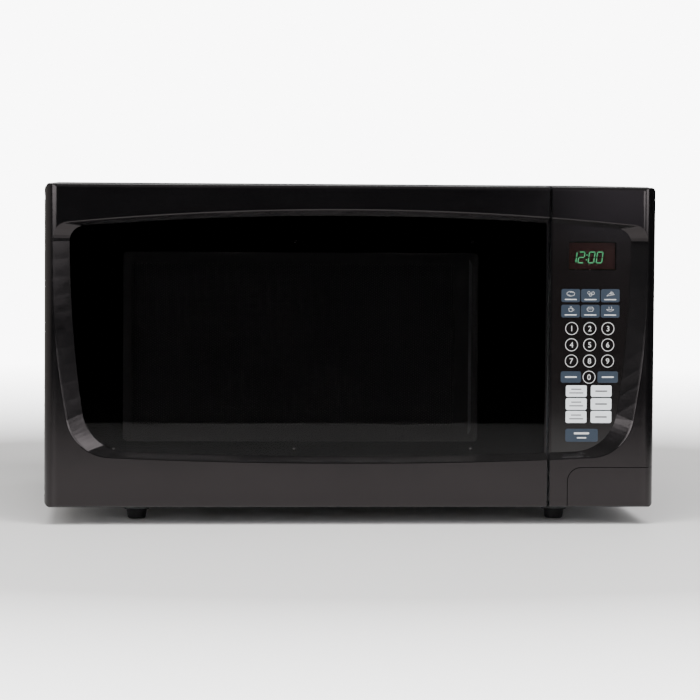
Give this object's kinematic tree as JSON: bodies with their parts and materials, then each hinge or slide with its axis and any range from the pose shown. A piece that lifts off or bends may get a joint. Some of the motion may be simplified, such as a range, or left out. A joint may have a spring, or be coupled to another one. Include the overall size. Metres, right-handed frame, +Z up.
{
  "type": "microwave oven",
  "caption": "Countertop microwave oven with a side-hinged windowed door, membrane keypad, push-button door release, turntable and cooling fan.",
  "frame": {"origin": "centre of the footprint, on the plane of the feet", "axes": "+X to the right seen from the front, +Y from the door to the back, +Z up"},
  "size_m": [0.553, 0.445, 0.307],
  "materials": {
    "case_paint": "fine textured black powder coat",
    "zinc_steel": "zinc-plated sheet",
    "foot_rubber": "moulded dark grey",
    "cavity_enamel": "baked light grey enamel",
    "gloss_black": "high-gloss black moulding",
    "smoked_window": "smoked clear acrylic with a printed black border",
    "screen_black": "black perforated sheet",
    "clear_film": "clear film",
    "dark_plastic": "matt dark grey",
    "screw_steel": "zinc-plated",
    "black_screw": "black oxide",
    "white_plastic": "natural white",
    "keypad_film": "printed polyester film",
    "display_lens": "reddish smoked lens",
    "display_dark": "dark display block",
    "board_green": "solder-masked board",
    "ribbon_film": "flexible printed tail",
    "fin_aluminium": "bare sheet",
    "yoke_steel": "zinc-plated",
    "anode_copper": "bare copper",
    "mica": "pressed mica sheet",
    "core_steel": "varnished laminations",
    "winding_copper": "enamelled copper wire",
    "lamp_glass": "clear bulb",
    "tray_glass": "tempered glass",
    "cutout_ceramic": "dark ceramic",
    "grommet_rubber": "black"
  },
  "bodies": {
    "root": {"outer_case": "case_paint", "rear_panel": "case_paint", "base_plate": "zinc_steel", "front_plate": "zinc_steel", "magnetron_filter_box": "zinc_steel", "waveguide": "zinc_steel", "turntable_motor": "zinc_steel", "hinge_upper": "zinc_steel", "hinge_lower": "zinc_steel", "capacitor_clamp": "zinc_steel", "lamp_socket": "zinc_steel", "feet": "foot_rubber", "cavity": "cavity_enamel", "control_panel": "gloss_black", "door_switches": "dark_plastic", "hv_diode": "dark_plastic", "board_relays": "dark_plastic", "chassis_screws": "screw_steel", "button_spring": "screw_steel", "case_screws": "black_screw", "latch_bracket": "white_plastic", "fan_shroud": "white_plastic", "air_duct": "white_plastic", "keypad_overlay": "keypad_film", "display_window": "display_lens", "display_module": "display_dark", "control_board": "board_green", "line_filter_board": "board_green", "keypad_ribbon": "ribbon_film", "magnetron_fins": "fin_aluminium", "capacitor": "fin_aluminium", "magnetron_yoke": "yoke_steel", "magnetron_core": "anode_copper", "waveguide_cover": "mica", "transformer_core": "core_steel", "fan_motor": "core_steel", "transformer_windings": "winding_copper", "oven_lamp": "lamp_glass", "thermal_cutouts": "cutout_ceramic", "cord_grommet": "grommet_rubber"},
    "door": {"door_frame": "gloss_black", "door_window": "smoked_window", "door_pan": "zinc_steel", "door_screen": "screen_black", "door_inner_film": "clear_film", "choke_cover": "dark_plastic", "door_screws": "screw_steel", "latch_spring": "screw_steel"},
    "latch": {"latch_hooks": "white_plastic"},
    "button": {"open_button": "gloss_black"},
    "lever": {"release_lever": "white_plastic"},
    "turntable_drive": {"turntable_shaft": "screw_steel", "turntable_coupler": "white_plastic"},
    "tray": {"glass_tray": "tray_glass"},
    "roller_ring": {"roller_ring": "white_plastic"},
    "wheel_1": {"roller_wheel_1": "white_plastic"},
    "wheel_2": {"roller_wheel_2": "white_plastic"},
    "wheel_3": {"roller_wheel_3": "white_plastic"},
    "fan": {"fan_shaft": "screw_steel", "fan_blade": "white_plastic"}
  },
  "joints": [
    {"name": "door_hinge", "type": "hinge", "parent": "root", "child": "door", "pos_m": [-0.2655, -0.2035, 0], "axis": [0, 0, -1], "range_deg": [0, 100]},
    {"name": "button_press", "type": "slide", "parent": "root", "child": "button", "axis": [0, 1, 0], "range_m": [0, 0.005], "stiffness_N_per_m": 600, "springref_m": -0.003, "deforming": ["button_spring"]},
    {"name": "lever_turn", "type": "hinge", "parent": "root", "child": "lever", "pos_m": [0, -0.174, 0.0544], "axis": [1, 0, 0], "range_deg": [0, 11.6]},
    {"name": "latch_lift", "type": "slide", "parent": "door", "child": "latch", "axis": [0, 0, 1], "range_m": [0, 0.0031], "deforming": ["latch_spring"]},
    {"name": "turntable_spin", "type": "hinge", "parent": "root", "child": "turntable_drive", "pos_m": [-0.0545, 0.0058, 0], "axis": [0, 0, 1], "continuous": true},
    {"name": "tray_lift", "type": "slide", "parent": "turntable_drive", "child": "tray", "axis": [0, 0, 1], "range_m": [0, 0.04]},
    {"name": "roller_ring_turn", "type": "hinge", "parent": "root", "child": "roller_ring", "pos_m": [-0.0545, 0.0058, 0], "axis": [0, 0, 1], "continuous": true},
    {"name": "fan_spin", "type": "hinge", "parent": "root", "child": "fan", "pos_m": [0.20635, 0, 0.205], "axis": [0, 1, 0], "continuous": true},
    {"name": "wheel_1_roll", "type": "hinge", "parent": "roller_ring", "child": "wheel_1", "pos_m": [0.0515, 0.0058, 0.0515], "axis": [1, 0, 0], "continuous": true},
    {"name": "wheel_2_roll", "type": "hinge", "parent": "roller_ring", "child": "wheel_2", "pos_m": [-0.1075, 0.0976, 0.0515], "axis": [-0.5, 0.866, 0], "continuous": true},
    {"name": "wheel_3_roll", "type": "hinge", "parent": "roller_ring", "child": "wheel_3", "pos_m": [-0.1075, -0.086, 0.0515], "axis": [-0.5, -0.866, 0], "continuous": true}
  ],
  "couplings": [
    {"joint": "lever_turn", "follows": "button_press", "rad_per_m": 40},
    {"joint": "latch_lift", "follows": "button_press", "ratio": 0.6},
    {"joint": "roller_ring_turn", "follows": "turntable_spin", "ratio": 0.5},
    {"joint": "wheel_1_roll", "follows": "turntable_spin", "ratio": -6.4634},
    {"joint": "wheel_2_roll", "follows": "turntable_spin", "ratio": -6.4634},
    {"joint": "wheel_3_roll", "follows": "turntable_spin", "ratio": -6.4634}
  ]
}
